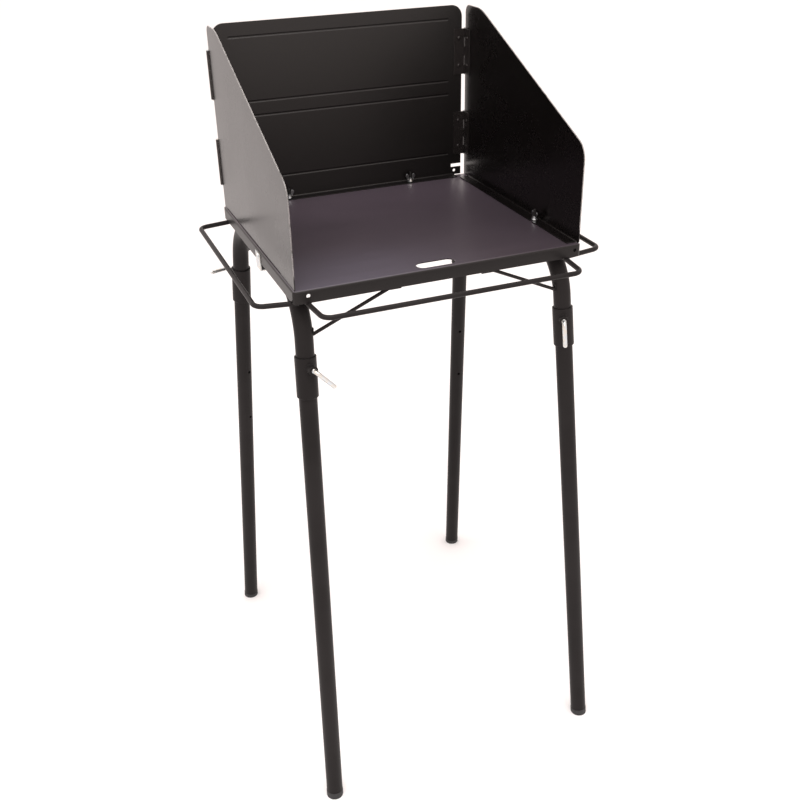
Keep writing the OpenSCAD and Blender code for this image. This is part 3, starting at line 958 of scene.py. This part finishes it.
class CreateStage(bpy.types.Operator):
    """Adds the pale floor, the soft light and the camera"""

    bl_idname = "cook_table.stage"
    bl_label = "Studio"

    floor_half = 12.0
    light_size = (1.8, 1.6)
    light_spot = (-0.3, -0.5, 2.6)
    light_aim = (0.0, 0.0, 0.8)
    camera_spot = (-0.5140, -1.3316, 1.3303)
    yaw, pitch, roll = 0.3728, 0.5079, -0.0224

    def execute(self, context):
        settings = context.scene.cook_table_stage
        self.add_floor(settings)
        self.add_light(context, settings)
        self.add_camera(context, settings)
        return {"FINISHED"}

    def add_floor(self, settings):
        mesh = bpy.data.meshes.new("floor")
        form = bmesh.new()
        bmesh.ops.create_grid(form, x_segments=2, y_segments=2, size=self.floor_half)
        form.to_mesh(mesh)
        form.free()
        floor = bpy.data.objects.new("floor", mesh)
        bpy.context.scene.collection.objects.link(floor)
        pale = finish_named("studio_floor", lambda n: pale_floor(n, settings.floor))
        mesh.materials.append(pale)

    def add_light(self, context, settings):
        world = bpy.data.worlds.new("white_room")
        world.use_nodes = True
        shade = world.node_tree.nodes["Background"]
        shade.inputs["Color"].default_value = (*settings.room, 1.0)
        shade.inputs["Strength"].default_value = settings.sky
        context.scene.world = world
        lamp = bpy.data.lights.new("softbox", "AREA")
        lamp.shape = "RECTANGLE"
        lamp.size, lamp.size_y = self.light_size
        lamp.energy = settings.softbox
        softbox = bpy.data.objects.new("softbox", lamp)
        softbox.location = self.light_spot
        aim = Vector(self.light_aim) - softbox.location
        softbox.rotation_euler = aim.to_track_quat("-Z", "Y").to_euler()
        context.scene.collection.objects.link(softbox)
        context.scene.view_settings.view_transform = "Standard"

    def add_camera(self, context, settings):
        yaw, pitch, roll = self.yaw, self.pitch, self.roll
        flat = math.cos(pitch)
        ahead = Vector((math.sin(yaw) * flat, math.cos(yaw) * flat, -math.sin(pitch)))
        level = Vector((math.cos(yaw), -math.sin(yaw), 0.0))
        rise = level.cross(ahead)
        right = level * math.cos(roll) + rise * math.sin(roll)
        up = rise * math.cos(roll) - level * math.sin(roll)
        lens = bpy.data.cameras.new("camera")
        lens.lens = settings.lens
        lens.sensor_width = 36.0
        lens.clip_end = 60.0
        camera = bpy.data.objects.new("camera", lens)
        turn = Matrix((right, up, -ahead)).transposed().to_4x4()
        camera.matrix_world = Matrix.Translation(self.camera_spot) @ turn
        context.scene.collection.objects.link(camera)
        context.scene.camera = camera


OPERATORS = (
    CreateTop, CreateRails, CreateFrames, CreateLegs, CreateClamps,
    CreateScreen, CreateHinges, CreateNuts, CreateStage,
)


class CookTablePanel(bpy.types.Panel):
    """Lists the pieces and their settings"""

    bl_idname = "VIEW3D_PT_cook_table"
    bl_label = "Cook Table"
    bl_space_type = "VIEW_3D"
    bl_region_type = "UI"
    bl_category = "Cook Table"

    def draw(self, context):
        scene = context.scene
        groups = (
            ("Finish", scene.cook_table_finish),
            ("Metalwork", scene.cook_table_metalwork),
            ("Studio", scene.cook_table_stage),
        )
        for title, settings in groups:
            box = self.layout.box()
            box.label(text=title)
            for name in settings.__annotations__:
                box.prop(settings, name)
        column = self.layout.column(align=True)
        for operator in OPERATORS:
            column.operator(operator.bl_idname)


CLASSES = (FinishSettings, MetalworkSettings, StageSettings, *OPERATORS, CookTablePanel)


def register():
    for cls in CLASSES:
        bpy.utils.register_class(cls)
    bpy.types.Scene.cook_table_finish = bpy.props.PointerProperty(type=FinishSettings)
    bpy.types.Scene.cook_table_metalwork = bpy.props.PointerProperty(type=MetalworkSettings)
    bpy.types.Scene.cook_table_stage = bpy.props.PointerProperty(type=StageSettings)


def unregister():
    del bpy.types.Scene.cook_table_stage
    del bpy.types.Scene.cook_table_metalwork
    del bpy.types.Scene.cook_table_finish
    for cls in reversed(CLASSES):
        bpy.utils.unregister_class(cls)


def main():
    register()
    for operator in OPERATORS:
        group, name = operator.bl_idname.split(".")
        getattr(getattr(bpy.ops, group), name)()


if __name__ == "__main__":
    main()
